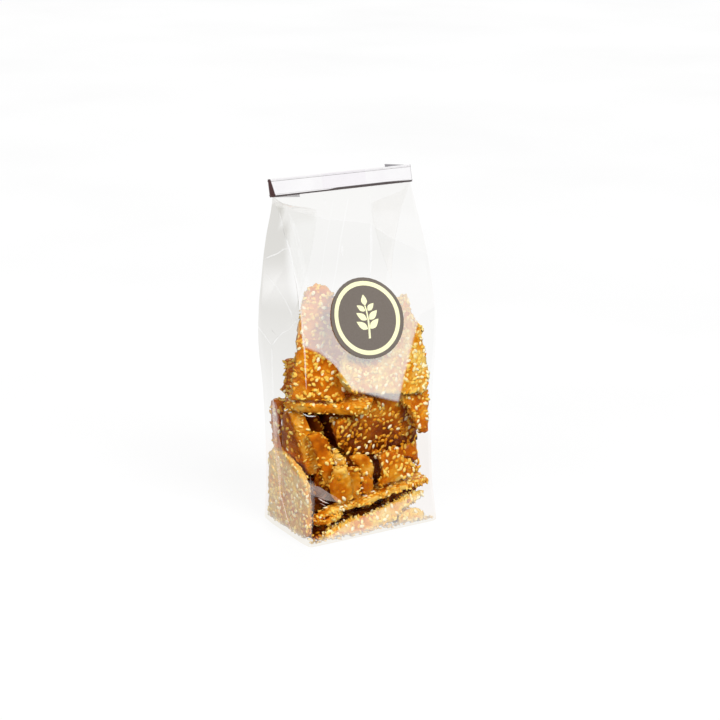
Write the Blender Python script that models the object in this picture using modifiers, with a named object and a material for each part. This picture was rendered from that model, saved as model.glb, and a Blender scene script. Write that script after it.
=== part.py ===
"""Clear block-bottom bag of sesame brittle with a tin tie and a round label.

Run with: blender --background --python part.py
Metres, +Z up. The origin is the middle of the flat base, the front panel faces -Y.
The bag is one solid of the filled pack's outer shape: a flat block bottom, panels that
belly out around the brittle, side gussets that fold inwards above it, and a top that is
pressed flat and leans back inside the tie.
"""

import math

import bmesh
import bpy
from mathutils import Matrix, Vector

MM = 0.001

# Driving dimensions
BASE_WIDTH = 93.0 * MM
BASE_DEPTH = 59.0 * MM
TOUCH_GAP = 0.3 * MM

# Base edge and sections
FOOT_RISE = 1.5 * MM          # height of the small roll along the base edge
FOOT_INSET = 1.2 * MM
FOOT_STEPS = 3
BODY_STEPS = 40
PANEL_STEPS = 14
GUSSET_STEPS = 8
CORNER_STEPS = 3

# Tin tie: a foil strip with a wire along each long edge
TIE_WIDTH = 99.0 * MM
TIE_HEIGHT = 10.6 * MM
TIE_FOOT = 208.4 * MM         # height of its lower edge
TIE_FRONT = 11.0 * MM         # depth of its front face at the lower edge
TIE_LEAN = math.radians(14.8)
STRIP_THICKNESS = 0.5 * MM
WIRE_RADIUS = 0.5 * MM
WIRE_INSET = 1.1 * MM
LEFT_FLAP = 19.0 * MM
RIGHT_FLAP = 14.5 * MM
FLAP_STEPS = 6
TURN_DEPTH = 3.6 * MM         # front strip to back flap at the folded end
FLAP_TIP_DEPTH = 4.4 * MM     # the same at the flap's tip, which springs open
LEFT_TIP_RISE = -1.6 * MM     # both flaps are folded a little askew
RIGHT_TIP_RISE = 1.9 * MM
TURN_STEPS = 8

# Film inside the tie
PRESSED_THICKNESS = 1.1 * MM
PRESSED_WIDTH = 95.6 * MM
GUSSET_CLOSED = 3.0 * MM      # the gusset's slot is shut this far below the tie
GUSSET_FADE = 7.0 * MM

# Back seam: two layers of film welded along the middle of the back
SEAM_HALF_WIDTH = 5.0 * MM
SEAM_RISE = 0.5 * MM
SEAM_STEP = 0.5 * MM

# Round label on the front panel
LABEL_RADIUS = 25.0 * MM
LABEL_CENTRE_X = -2.0 * MM
LABEL_CENTRE_Z = 135.8 * MM
LABEL_LEAN = math.radians(24.8)
LABEL_THICKNESS = 0.25 * MM
LABEL_RINGS = 5
LABEL_SPOKES = 40

# Profiles up the bag: (height, offset), offsets grow outwards from the base's outline
FRONT_EDGE = ((0, 0), (25, 2.2), (55, 2.6), (88, 1.0), (113, -2.2), (136, -7.0), (158, -13.5),
              (183, -25.5), (199, -35.5))
FRONT_MIDDLE = ((0, 0), (25, 2.8), (55, 4.0), (88, 3.4), (113, -0.8), (136, -10.0), (158, -20.5),
                (183, -30.5), (199, -37.0))
BACK_EDGE = ((0, 0), (25, 0.3), (55, 1.2), (88, 4.0), (113, 5.6), (136, 4.4), (158, 0.8),
             (183, -6.0), (199, -13.0))
LEFT_EDGE = ((0, 0), (55, 0.2), (88, 0.8), (113, 2.0), (136, 1.4), (158, 0.4), (183, 0.6))
RIGHT_EDGE = ((0, 0), (12, -1.6), (30, -4.0), (55, -5.0), (88, -3.6), (113, -0.8), (136, 0.4),
              (158, 0), (183, 0.2))
CORNER_RADIUS = ((0, 2.5), (30, 6.0), (88, 7.0), (136, 3.5), (170, 1.5), (199, 0.9))
BACK_BELLY = ((0, 0), (30, 2.0), (75, 3.5), (113, 2.5), (136, 0), (158, -3.0), (183, -3.0),
              (199, -1.0))
SIDE_BELLY = ((0, 0), (25, 1.4), (60, 2.0), (90, 1.4), (113, 0))

# Dents and bulges where shards press on the film
DENT_DEPTH = 0.7 * MM
DENT_PITCH = 27.0 * MM
DENT_TOP = 112.0 * MM


def profile_at(profile, height):
    """Smooth value of a (height, value) profile in millimetres, at a height in metres."""
    here = height / MM
    if here <= profile[0][0]:
        return profile[0][1] * MM
    if here >= profile[-1][0]:
        return profile[-1][1] * MM
    slopes = profile_slopes(profile)
    for index in range(len(profile) - 1):
        low, low_value = profile[index]
        high, high_value = profile[index + 1]
        if here <= high:
            span = high - low
            t = (here - low) / span
            value = (low_value * (1 + 2 * t) * (1 - t) ** 2
                     + slopes[index] * span * t * (1 - t) ** 2
                     + high_value * t * t * (3 - 2 * t)
                     - slopes[index + 1] * span * t * t * (1 - t))
            return value * MM
    return profile[-1][1] * MM


def profile_slopes(profile):
    """Slope at each point of a profile: flat at its turns, so that it never overshoots."""
    rises = []
    for low, high in zip(profile, profile[1:]):
        rises.append((high[1] - low[1]) / (high[0] - low[0]))
    slopes = [rises[0]]
    for before, after in zip(rises, rises[1:]):
        if before * after <= 0:
            slopes.append(0.0)
        else:
            slopes.append(2 * before * after / (before + after))
    slopes.append(rises[-1])
    return slopes


def ease(value):
    """0 to 1 with flat ends."""
    t = min(max(value, 0.0), 1.0)
    return t * t * (3 - 2 * t)


def tie_plane(height):
    """Depth of the tie's front face at a height."""
    return TIE_FRONT + (height - TIE_FOOT) * math.tan(TIE_LEAN)


def pressed_front(height):
    """Depth of the pressed film's front face, just behind the strip and its wires."""
    clear = STRIP_THICKNESS / 2 + WIRE_RADIUS + TOUCH_GAP
    return tie_plane(height) + clear / math.cos(TIE_LEAN)


def pressed_back(height):
    return pressed_front(height) + PRESSED_THICKNESS / math.cos(TIE_LEAN)


def pressed_face(sign, height):
    """Depth of the pressed film's face, in front for sign -1 and at the back for 1."""
    return pressed_front(height) if sign < 0 else pressed_back(height)


def panel_depth(profile, sign, height):
    """A panel's depth: its profile, then an easy run on to the pressed film in the tie."""
    if height >= TIE_FOOT:
        return pressed_face(sign, height)
    last = profile[-1][0] * MM
    panel = sign * (BASE_DEPTH / 2 + profile_at(profile, height))
    share = ease((height - last) / (TIE_FOOT - last))
    return panel * (1 - share) + pressed_face(sign, TIE_FOOT) * share


def front_edge(height):
    return panel_depth(FRONT_EDGE, -1, height)


def front_middle(height):
    return panel_depth(FRONT_MIDDLE, -1, height)


def back_edge(height):
    return panel_depth(BACK_EDGE, 1, height)


def side_edge(profile, sign, height):
    """Half width on one side, easing to the pressed film's half width at the tie."""
    half = BASE_WIDTH / 2 + profile_at(profile, height)
    last = profile[-1][0] * MM
    share = ease((height - last) / (TIE_FOOT - last))
    return sign * (half * (1 - share) + PRESSED_WIDTH / 2 * share)


def gusset_fold(height):
    """How far a gusset's middle crease is folded in: its leg is half the base's depth."""
    leg = BASE_DEPTH / 2
    half_opening = (back_edge(height) - front_edge(height)) / 2
    folded = math.sqrt(max(0.0, leg * leg - half_opening * half_opening))
    shut = TIE_FOOT - GUSSET_CLOSED
    return folded * ease((shut - height) / GUSSET_FADE)


def dent(across, height, phase):
    """Soft bumps on the filled part of a panel, none at the base and above the fill."""
    reach = ease(height / (20 * MM)) * ease((DENT_TOP - height) / (25 * MM))
    turn = 2 * math.pi / DENT_PITCH
    wave = math.sin(turn * across + phase) * math.cos(turn * 0.8 * height + 2.1 * phase)
    return DENT_DEPTH * reach * wave


def front_depth(across, height):
    """Depth of the front panel at a place across it."""
    left = side_edge(LEFT_EDGE, -1, height)
    right = side_edge(RIGHT_EDGE, 1, height)
    place = (2 * across - left - right) / (right - left)
    hollow = 1 - min(1.0, abs(place)) ** 2
    edge = front_edge(height)
    return edge + (front_middle(height) - edge) * hollow - dent(across, height, 0.6) * hollow


def back_depth(across, height):
    """Depth of the back panel with its welded seam."""
    left = side_edge(LEFT_EDGE, -1, height)
    right = side_edge(RIGHT_EDGE, 1, height)
    place = (2 * across - left - right) / (right - left)
    hollow = 1 - min(1.0, abs(place)) ** 2
    depth = back_edge(height) + dent(across, height, 1.9) * hollow
    depth += profile_at(BACK_BELLY, height) * hollow * ease((TIE_FOOT - height) / (9 * MM))
    if abs(across) < SEAM_HALF_WIDTH + SEAM_STEP / 2:
        fade = ease(height / (8 * MM)) * ease((TIE_FOOT - height) / (9 * MM))
        depth += SEAM_RISE * fade
    return depth


def side_place(sign, share, height):
    """A gusset's place across: share runs from -1 at one edge of it to 1 at the other."""
    profile = LEFT_EDGE if sign < 0 else RIGHT_EDGE
    edge = side_edge(profile, sign, height)
    inwards = gusset_fold(height) * (1 - abs(share))
    outwards = profile_at(SIDE_BELLY, height) + dent(share * BASE_DEPTH / 2, height, 2.7)
    return edge - sign * (inwards - outwards * (1 - share * share))


def spread(low, high, steps):
    """Even places between two ends, neither end included."""
    return [low + (high - low) * index / steps for index in range(1, steps)]


def seamed_places(left, right):
    """Places across the back panel, with the seam's two steps."""
    outer = SEAM_HALF_WIDTH + SEAM_STEP
    steps = PANEL_STEPS // 2
    seam = [-outer, -SEAM_HALF_WIDTH, 0.0, SEAM_HALF_WIDTH, outer]
    return spread(left, -outer, steps) + seam + spread(outer, right, steps)


def corner(centre, radius, start):
    """Quarter turn of a section's outline, both ends included."""
    points = []
    for index in range(CORNER_STEPS + 1):
        angle = start + math.pi / 2 * index / CORNER_STEPS
        points.append((centre[0] + radius * math.cos(angle),
                       centre[1] + radius * math.sin(angle)))
    return points


def gusset_points(sign, low, high, height):
    """Points up or down a gusset between its two corners."""
    points = []
    for index in range(1, GUSSET_STEPS):
        share = 2 * index / GUSSET_STEPS - 1
        depth = low + (high - low) * index / GUSSET_STEPS
        points.append((side_place(sign, share, height), depth))
    return points


def section(height, inset):
    """One outline of the bag, anticlockwise seen from above."""
    left = side_edge(LEFT_EDGE, -1, height) + inset
    right = side_edge(RIGHT_EDGE, 1, height) - inset
    front = front_edge(height) + inset
    back = back_edge(height) - inset
    radius = min(profile_at(CORNER_RADIUS, height), 0.4 * (back - front))
    flat_left = left + radius
    flat_right = right - radius
    points = []
    points += corner((flat_left, front + radius), radius, math.pi)
    for across in spread(flat_left, flat_right, PANEL_STEPS):
        points.append((across, front_depth(across, height) + inset))
    points += corner((flat_right, front + radius), radius, 1.5 * math.pi)
    points += gusset_points(1, front + radius, back - radius, height)
    points += corner((flat_right, back - radius), radius, 0.0)
    for across in reversed(seamed_places(flat_left, flat_right)):
        points.append((across, back_depth(across, height) - inset))
    points += corner((flat_left, back - radius), radius, 0.5 * math.pi)
    points += reversed(gusset_points(-1, front + radius, back - radius, height))
    return [Vector((x, y, height)) for x, y in points]


def section_heights():
    """Heights and insets of all outlines: the rolled foot, the body and the pressed top."""
    rows = []
    for index in range(FOOT_STEPS):
        angle = math.pi / 2 * index / FOOT_STEPS
        rows.append((FOOT_RISE * (1 - math.cos(angle)), FOOT_INSET * (1 - math.sin(angle))))
    for index in range(BODY_STEPS + 1):
        rows.append((FOOT_RISE + (TIE_FOOT - FOOT_RISE) * index / BODY_STEPS, 0.0))
    rows.append((TIE_FOOT + (TIE_HEIGHT - TOUCH_GAP) * math.cos(TIE_LEAN), 0.0))
    return rows


def material(name, colour, roughness, metallic):
    """Principled material."""
    made = bpy.data.materials.new(name)
    made.use_nodes = True
    shader = made.node_tree.nodes["Principled BSDF"]
    shader.inputs["Base Color"].default_value = (*colour, 1.0)
    shader.inputs["Roughness"].default_value = roughness
    shader.inputs["Metallic"].default_value = metallic
    made.diffuse_color = (*colour, 1.0)
    return made


def add_object(name, mesh, collection, finish):
    made = bpy.data.objects.new(name, mesh)
    mesh.materials.clear()
    mesh.materials.append(finish)
    collection.objects.link(made)
    return made


def loft(name, rows):
    """Closed mesh through outlines of equal length, capped at both ends."""
    shape = bmesh.new()
    rings = [[shape.verts.new(point) for point in row] for row in rows]
    count = len(rings[0])
    for lower, upper in zip(rings, rings[1:]):
        for index in range(count):
            after = (index + 1) % count
            shape.faces.new((lower[index], lower[after], upper[after], upper[index]))
    shape.faces.new(list(reversed(rings[0])))
    shape.faces.new(rings[-1])
    mesh = bpy.data.meshes.new(name)
    shape.to_mesh(mesh)
    shape.free()
    return mesh


def build_bag(collection):
    rows = [section(height, inset) for height, inset in section_heights()]
    finish = material("clear_film", (0.86, 0.84, 0.80), 0.12, 0.0)
    return add_object("bag", loft("bag", rows), collection, finish)


def tie_end(flap_length):
    """Middle line of the strip's left end, seen from above: from the flap's tip round the turn."""
    radius = TURN_DEPTH / 2
    centre = -TIE_WIDTH / 2 + STRIP_THICKNESS / 2 + radius
    points = []
    for index in range(FLAP_STEPS):
        reach = 1 - index / FLAP_STEPS
        points.append((centre + flap_length * reach,
                       TURN_DEPTH + (FLAP_TIP_DEPTH - TURN_DEPTH) * reach))
    for index in range(TURN_STEPS + 1):
        angle = math.pi / 2 + math.pi * index / TURN_STEPS
        points.append((centre + radius * math.cos(angle), radius + radius * math.sin(angle)))
    return points


def tie_route():
    """Middle line of the whole strip: left end, straight front, mirrored right end."""
    right = [(-x, y) for x, y in reversed(tie_end(RIGHT_FLAP))]
    return tie_end(LEFT_FLAP) + right


def skew_flaps(shape):
    """Fold both flaps askew, by a lift that grows from the turn to the flap's tip."""
    start = TIE_WIDTH / 2 - TURN_DEPTH / 2
    for vertex in shape.verts:
        on_left = vertex.co.x < 0
        length = LEFT_FLAP if on_left else RIGHT_FLAP
        rise = LEFT_TIP_RISE if on_left else RIGHT_TIP_RISE
        reach = (start - abs(vertex.co.x)) / length
        if vertex.co.y > 0.6 * TURN_DEPTH and reach > 0:
            vertex.co.z += rise * reach


def strip_outline():
    """Section of the strip: a thin web with a round wire along each long edge."""
    web = STRIP_THICKNESS / 2
    middle = TIE_HEIGHT / 2 - WIRE_INSET
    hem = TIE_HEIGHT / 2
    start = math.asin(web / WIRE_RADIUS)
    lobe = []
    for index in range(5):
        angle = start + (math.pi - 2 * start) * index / 4
        lobe.append((WIRE_RADIUS * math.sin(angle), -WIRE_RADIUS * math.cos(angle)))
    points = [(web, -hem)]
    points += [(x, y - middle) for x, y in lobe]
    points += [(x, y + middle) for x, y in lobe]
    points.append((web, hem))
    mirrored = [(-x, y) for x, y in reversed(points)]
    return points + mirrored


def flat_curve(name, points, closed):
    """Poly curve in a plane."""
    curve = bpy.data.curves.new(name, "CURVE")
    curve.dimensions = "2D"
    spline = curve.splines.new("POLY")
    spline.points.add(len(points) - 1)
    for point, (x, y) in zip(spline.points, points):
        point.co = (x, y, 0.0, 1.0)
    spline.use_cyclic_u = closed
    return curve


def build_tie(collection, cutters):
    """Strip's section swept along its route, made a mesh and leant back with the bag's top."""
    outline = bpy.data.objects.new("tie_outline", flat_curve("tie_outline", strip_outline(), True))
    outline.data.fill_mode = "NONE"
    outline.hide_render = True
    outline.display_type = "WIRE"
    cutters.objects.link(outline)
    route = flat_curve("tie_route", tie_route(), False)
    route.bevel_mode = "OBJECT"
    route.bevel_object = outline
    route.use_fill_caps = True
    swept = bpy.data.objects.new("tie_route", route)
    collection.objects.link(swept)
    evaluated = swept.evaluated_get(bpy.context.evaluated_depsgraph_get())
    mesh = bpy.data.meshes.new_from_object(evaluated)
    bpy.data.objects.remove(swept)
    shape = bmesh.new()
    shape.from_mesh(mesh)
    bmesh.ops.remove_doubles(shape, verts=shape.verts, dist=0.00001)
    bmesh.ops.recalc_face_normals(shape, faces=shape.faces)
    skew_flaps(shape)
    shape.to_mesh(mesh)
    shape.free()
    mesh.name = "tin_tie"
    finish = material("silver_foil", (0.82, 0.82, 0.84), 0.18, 1.0)
    tie = add_object("tin_tie", mesh, collection, finish)
    lean = Matrix.Rotation(-TIE_LEAN, 4, "X")
    middle = TIE_FOOT + TIE_HEIGHT / 2 * math.cos(TIE_LEAN)
    depth = tie_plane(middle) + STRIP_THICKNESS / 2 / math.cos(TIE_LEAN)
    tie.matrix_world = Matrix.Translation((0, depth, middle)) @ lean
    return tie


def label_point(radius, angle):
    """A place on the label's outer face, which follows the front panel in front of the gap."""
    x = LABEL_CENTRE_X + radius * math.cos(angle)
    z = LABEL_CENTRE_Z + radius * math.sin(angle) * math.cos(LABEL_LEAN)
    gap = (TOUCH_GAP + LABEL_THICKNESS) / math.cos(LABEL_LEAN)
    return Vector((x, front_depth(x, z) - gap, z))


def build_label(collection):
    """Round sticker that follows the film, an open sheet made solid."""
    shape = bmesh.new()
    middle = shape.verts.new(label_point(0.0, 0.0))
    rings = []
    for ring in range(1, LABEL_RINGS + 1):
        radius = LABEL_RADIUS * ring / LABEL_RINGS
        spokes = [2 * math.pi * index / LABEL_SPOKES for index in range(LABEL_SPOKES)]
        rings.append([shape.verts.new(label_point(radius, angle)) for angle in spokes])
    for index in range(LABEL_SPOKES):
        after = (index + 1) % LABEL_SPOKES
        shape.faces.new((middle, rings[0][index], rings[0][after]))
        for inner, outer in zip(rings, rings[1:]):
            shape.faces.new((inner[index], outer[index], outer[after], inner[after]))
    mesh = bpy.data.meshes.new("label")
    shape.to_mesh(mesh)
    shape.free()
    finish = material("label_paper", (0.055, 0.043, 0.036), 0.45, 0.0)
    label = add_object("label", mesh, collection, finish)
    solid = label.modifiers.new("thickness", "SOLIDIFY")
    solid.thickness = LABEL_THICKNESS
    solid.offset = -1.0
    return label


def main():
    for leftover in list(bpy.data.objects):
        bpy.data.objects.remove(leftover)
    collection = bpy.data.collections.new("sesame_brittle_bag")
    cutters = bpy.data.collections.new("cutters")
    bpy.context.scene.collection.children.link(collection)
    bpy.context.scene.collection.children.link(cutters)
    build_bag(collection)
    build_tie(collection, cutters)
    build_label(collection)


main()
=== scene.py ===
"""Looks of the clear bag of sesame brittle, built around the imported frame.

The frame gives the bag's outer shape, the tin tie and the round label. This script adds
the clear film, the broken brittle with its seeds and crumbs, the print on the label, and
the studio: a pale floor, soft lights and the camera.
"""

import math
import random

import bmesh
import bpy
import numpy as np
from mathutils import Matrix, Vector, noise
from mathutils.bvhtree import BVHTree
from mathutils.geometry import delaunay_2d_cdt


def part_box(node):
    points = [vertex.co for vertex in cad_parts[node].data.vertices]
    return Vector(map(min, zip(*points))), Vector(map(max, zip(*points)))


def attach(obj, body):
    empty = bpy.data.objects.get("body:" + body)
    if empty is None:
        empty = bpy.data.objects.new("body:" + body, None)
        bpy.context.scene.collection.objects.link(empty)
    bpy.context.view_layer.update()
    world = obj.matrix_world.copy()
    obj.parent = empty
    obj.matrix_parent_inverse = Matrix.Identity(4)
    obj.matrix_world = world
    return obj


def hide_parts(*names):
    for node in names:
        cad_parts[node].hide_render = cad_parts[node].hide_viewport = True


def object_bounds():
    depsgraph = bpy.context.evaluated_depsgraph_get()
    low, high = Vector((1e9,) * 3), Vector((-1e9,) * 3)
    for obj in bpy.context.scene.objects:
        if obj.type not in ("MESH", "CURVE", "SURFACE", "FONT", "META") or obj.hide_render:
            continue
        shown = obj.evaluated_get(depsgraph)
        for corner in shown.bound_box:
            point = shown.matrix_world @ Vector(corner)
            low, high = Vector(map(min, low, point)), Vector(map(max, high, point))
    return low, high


MM = 0.001

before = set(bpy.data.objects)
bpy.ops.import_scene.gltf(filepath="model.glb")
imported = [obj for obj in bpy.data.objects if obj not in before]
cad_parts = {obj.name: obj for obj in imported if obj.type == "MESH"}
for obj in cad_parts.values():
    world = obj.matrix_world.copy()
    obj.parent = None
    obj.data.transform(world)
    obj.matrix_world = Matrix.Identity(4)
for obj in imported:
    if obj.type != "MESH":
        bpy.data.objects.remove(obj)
cad_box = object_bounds()
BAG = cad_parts["bag"]
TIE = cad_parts["tin_tie"]
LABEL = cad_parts["label"]

# Camera: turned to the left of the front panel, a little above the pack
CAMERA_TURN = math.radians(-31.5)
CAMERA_RISE = math.radians(16.9)
CAMERA_DISTANCE = 1.1455
CAMERA_TARGET = Vector((0.0057, 0.0, 0.1033))
CAMERA_ROLL = math.radians(0.66)
CAMERA_LENS = 93.4

# Brittle
POINT_PITCH = 2.3
EDGE_PITCH = 2.2
SEED_PITCH = 2.5
SEED_LENGTH = 3.6
SEED_WIDTH = 2.2
SEED_HEIGHT = 1.35
RIM_LEVELS = (0.3, 0.0, -0.3)
SMALL_PIECE = 10.0
# Share of seeds turned near-white: painted highlights standing in for glints on the glaze
GLINT_SEED_SHARE = 0.055
EDGE_MARGIN = 1.0
BREAK_BITE = 0.55
CORNER_BITE = 0.3

# Relief of a slab: noise turns in a millimetre, and height in millimetres
WAVE = (0.035, 1.5)
BUMPS = (0.42, 0.55)
SWELL = (0.12, 0.7)


# ---------------------------------------------------------------- materials


def colour(red, green, blue):
    """Linear colour of an 8-bit sRGB one."""
    out = []
    for value in (red, green, blue):
        share = value / 255
        out.append(share / 12.92 if share <= 0.04045 else ((share + 0.055) / 1.055) ** 2.4)
    return (*out, 1.0)


class Nodes:
    """Short names for a material's nodes and links."""

    def __init__(self, name):
        self.material = bpy.data.materials.new(name)
        self.material.use_nodes = True
        self.tree = self.material.node_tree
        self.tree.nodes.clear()
        self.output = self.add("ShaderNodeOutputMaterial")

    def add(self, kind, settings=None, **inputs):
        node = self.tree.nodes.new(kind)
        for key, value in (settings or {}).items():
            setattr(node, key, value)
        for key, value in inputs.items():
            self.feed(node, key.replace("_", " "), value)
        return node

    def feed(self, node, key, value):
        socket = node.inputs[int(key)] if key.isdigit() else node.inputs[key]
        if isinstance(value, bpy.types.NodeSocket):
            self.tree.links.new(value, socket)
        else:
            socket.default_value = value

    def math(self, operation, first, second=0.0, clamp=False, third=None):
        node = self.add("ShaderNodeMath", {"operation": operation, "use_clamp": clamp})
        self.feed(node, "0", first)
        self.feed(node, "1", second)
        if third is not None:
            self.feed(node, "2", third)
        return node.outputs[0]

    def ramp(self, factor, stops):
        node = self.add("ShaderNodeValToRGB")
        self.feed(node, "Fac", factor)
        elements = node.color_ramp.elements
        while len(elements) < len(stops):
            elements.new(0.5)
        for element, (place, tint) in zip(elements, stops):
            element.position = place
            element.color = tint
        return node.outputs["Color"]

    def mix(self, factor, first, second, blend="MIX"):
        node = self.add("ShaderNodeMix", {"data_type": "RGBA", "blend_type": blend})
        self.feed(node, "0", factor)
        self.feed(node, "6", first)
        self.feed(node, "7", second)
        return node.outputs[2]

    def noise(self, scale, detail=3.0, place=None):
        node = self.add("ShaderNodeTexNoise", Scale=scale, Detail=detail)
        self.feed(node, "Vector", place or self.place())
        return node.outputs["Fac"]

    def place(self):
        return self.add("ShaderNodeTexCoord").outputs["Object"]

    def split(self, vector):
        """Three sockets of a vector."""
        return self.add("ShaderNodeSeparateXYZ", Vector=vector).outputs

    def millimetres(self):
        """X, Y and Z of the surface in millimetres."""
        place = self.place()
        scaled = self.add("ShaderNodeVectorMath", {"operation": "SCALE"}, Vector=place)
        scaled.inputs["Scale"].default_value = 1000.0
        return self.split(scaled.outputs["Vector"])

    def step(self, value, low, high):
        """0 below low and 1 above high, smooth between them (low may exceed high)."""
        node = self.add("ShaderNodeMapRange", {"interpolation_type": "SMOOTHSTEP"})
        self.feed(node, "Value", value)
        if low < high:
            node.inputs["From Min"].default_value = low
            node.inputs["From Max"].default_value = high
        else:
            node.inputs["From Min"].default_value = high
            node.inputs["From Max"].default_value = low
            node.inputs["To Min"].default_value = 1.0
            node.inputs["To Max"].default_value = 0.0
        return node.outputs["Result"]

    def profile(self, value, points):
        """Piecewise-linear function of a value, given as (input, output) pairs."""
        low, high = points[0][0], points[-1][0]
        scale = max(abs(out) for _, out in points)
        share = self.add("ShaderNodeMapRange")
        self.feed(share, "Value", value)
        share.inputs["From Min"].default_value = low
        share.inputs["From Max"].default_value = high
        stops = []
        for at, out in points:
            level = 0.5 + 0.5 * out / scale
            stops.append(((at - low) / (high - low), (level, level, level, 1.0)))
        curve = self.ramp(share.outputs["Result"], stops)
        return self.math("MULTIPLY", self.math("SUBTRACT", curve, 0.5), 2 * scale)

    def product(self, *factors):
        value = factors[0]
        for factor in factors[1:]:
            value = self.math("MULTIPLY", value, factor)
        return value

    def bump(self, height, strength, distance):
        node = self.add("ShaderNodeBump", Strength=strength, Distance=distance, Height=height)
        return node.outputs["Normal"]

    def tone(self):
        """Tone that the mesh stores at each point."""
        return self.add("ShaderNodeAttribute", {"attribute_name": "tone"}).outputs["Fac"]

    def outward(self):
        """X, Y and Z of the direction that the surface faces on the pack."""
        return self.split(self.add("ShaderNodeTexCoord").outputs["Normal"])

    def outer(self):
        """1 on the outer side of the surface and 0 on its inner side."""
        return self.math("SUBTRACT", 1.0, self.add("ShaderNodeNewGeometry").outputs["Backfacing"])

    def blend(self, factor, first, second):
        """Finish the material as two shaders, mixed by a factor."""
        mixed = self.add("ShaderNodeMixShader")
        for key, value in (("0", factor), ("1", first), ("2", second)):
            self.feed(mixed, key, value)
        return self.finish(mixed.outputs["Shader"])

    def surface(self, tint, rough, normal, specular=0.5, metal=0.0):
        """Finish the material as one Principled shader."""
        shader = self.add("ShaderNodeBsdfPrincipled", Base_Color=tint, Roughness=rough,
                          Normal=normal, Metallic=metal)
        shader.inputs["Specular IOR Level"].default_value = specular
        return self.finish(shader.outputs["BSDF"])

    def finish(self, shader):
        self.tree.links.new(shader, self.output.inputs["Surface"])
        return self.material


def caramel_material():
    """Amber caramel glaze with seeds showing through it."""
    nodes = Nodes("caramel")
    place = nodes.place()
    tone = nodes.tone()
    cloud = nodes.noise(75.0, 4.0, place)
    spots = nodes.noise(230.0, 2.0, place)
    drift = nodes.math("ADD", nodes.math("MULTIPLY", cloud, 1.1), nodes.math("MULTIPLY", spots, 0.5))
    amber = nodes.math("ADD", nodes.math("MULTIPLY", tone, 0.8),
                       nodes.math("SUBTRACT", drift, 0.65), True)
    base = nodes.ramp(amber, [(0.0, colour(78, 24, 1)), (0.3, colour(134, 58, 3)),
                              (0.6, colour(194, 98, 4)), (0.82, colour(222, 142, 24)),
                              (1.0, colour(236, 194, 98))])
    cells = nodes.add("ShaderNodeTexVoronoi", {"feature": "SMOOTH_F1"}, Scale=330.0)
    nodes.feed(cells, "Vector", place)
    sunk = nodes.ramp(cells.outputs["Distance"], [(0.15, (1, 1, 1, 1)), (0.5, (0, 0, 0, 1))])
    patch = nodes.math("MULTIPLY", sunk, nodes.ramp(nodes.noise(160.0, 2.0, place),
                                                    [(0.4, (0, 0, 0, 1)), (0.7, (1, 1, 1, 1))]))
    glow = nodes.ramp(amber, [(0.0, colour(150, 84, 14)), (0.6, colour(228, 150, 32)),
                              (1.0, colour(246, 200, 96))])
    tint = nodes.mix(nodes.math("MULTIPLY", patch, 0.7), base, glow)
    fine = nodes.noise(900.0, 3.0, place)
    relief = nodes.math("ADD", nodes.math("MULTIPLY", sunk, 0.7), nodes.math("MULTIPLY", fine, 0.3))
    rough = nodes.math("MULTIPLY_ADD", nodes.noise(240.0, 2.0, place), 0.35, third=0.1)
    return nodes.surface(tint, rough, nodes.bump(relief, 0.5, 0.0006), 0.08)


def seed_material():
    """Toasted sesame under a thin glaze, each seed with its own tone; the near-white end of the ramp
    also serves as painted glints.
    """
    nodes = Nodes("sesame")
    speckle = nodes.noise(1400.0, 2.0)
    share = nodes.math("ADD", nodes.math("MULTIPLY", nodes.tone(), 0.85),
                       nodes.math("MULTIPLY", speckle, 0.15), True)
    tint = nodes.ramp(share, [(0.05, colour(180, 92, 6)), (0.4, colour(230, 154, 30)),
                              (0.65, colour(246, 209, 96)), (0.85, colour(254, 232, 158)),
                              (1.0, colour(255, 250, 230))])
    return nodes.surface(tint, 0.3, nodes.bump(speckle, 0.2, 0.0002), 0.12)


# Painted sheen on the film: masks that add gloss in set parts, standing in for the reflection of the
# soft light and the pale floor; edges in millimetres on the pack, strengths as shares
UPPER_SHEEN_LOW_EDGE = ((-50, 127), (-38, 121), (-29, 113), (-23, 104), (-19, 97), (3, 88.5), (15, 84))
UPPER_SHEEN_RIGHT_EDGE = ((80, 11), (84, 13), (100, 18), (120, 27), (134, 35), (140, 54))
LOWER_SHEEN_TOP_EDGE = ((-50, 2), (-38, 4), (-18, 13), (36, 23), (50, 26))
SIDE_SHEEN_TOP_EDGE = ((-32, 42.5), (-19, 43.5), (-10, 46.5), (-1, 52), (4, 62), (7, 82), (16, 84),
                 (20, 68), (32, 58))
UPPER_PAINTED_SHEEN = 0.5
LOWER_PAINTED_SHEEN = 0.25
SIDE_PAINTED_SHEEN = 0.15
FOOT_PAINTED_SHEEN = 0.22
FRONT_FOLD = ((90, -27), (110, -26), (130, -23), (150, -18), (160, -14.8), (170, -10.5),
              (180, -5.4), (190, 0.3), (206, 10.6))
FILM_INDEX = 1.4
GLOSS_SCALE = 0.9
GLOSS_OFFSET = -0.027
GLOSS_CAP = 0.2
# Top fold line of the film, with a band of painted sheen above it
TOP_FOLD = ((-50, 204), (-35.6, 199.5), (-25.9, 196.8), (-16.3, 193), (-1.4, 190.7),
            (13.2, 187.8), (24.1, 179.5), (36.2, 172.9), (50, 165))
TOP_PAINTED_SHEEN = 0.3

# Share of light that each part of the film lets through; the left share is painted shade on the left
# gusset, the side away from the key light
FILM_SHADE = (0.957, 0.955, 0.948, 1.0)
TUCK_SHADE = (0.984, 0.984, 0.981, 1.0)
LEFT_PAINTED_SHADE = (0.76, 0.75, 0.725, 1.0)
SIDE_SHADE = (0.975, 0.94, 0.92, 1.0)
FOOT_SHADE = (0.925, 0.885, 0.80, 1.0)

# Tin tie: lower edge, depth and lean of its front, and the line of painted shadow along its foot
TIE_FOOT = 208.4
TIE_FRONT = 11.0
TIE_SLOPE = 0.264
FOIL_FOOT_SHADOW = ((-50, 0.8), (-12, 0.9), (-5, 1.5), (30, 1.6), (50, 1.0))


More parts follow.
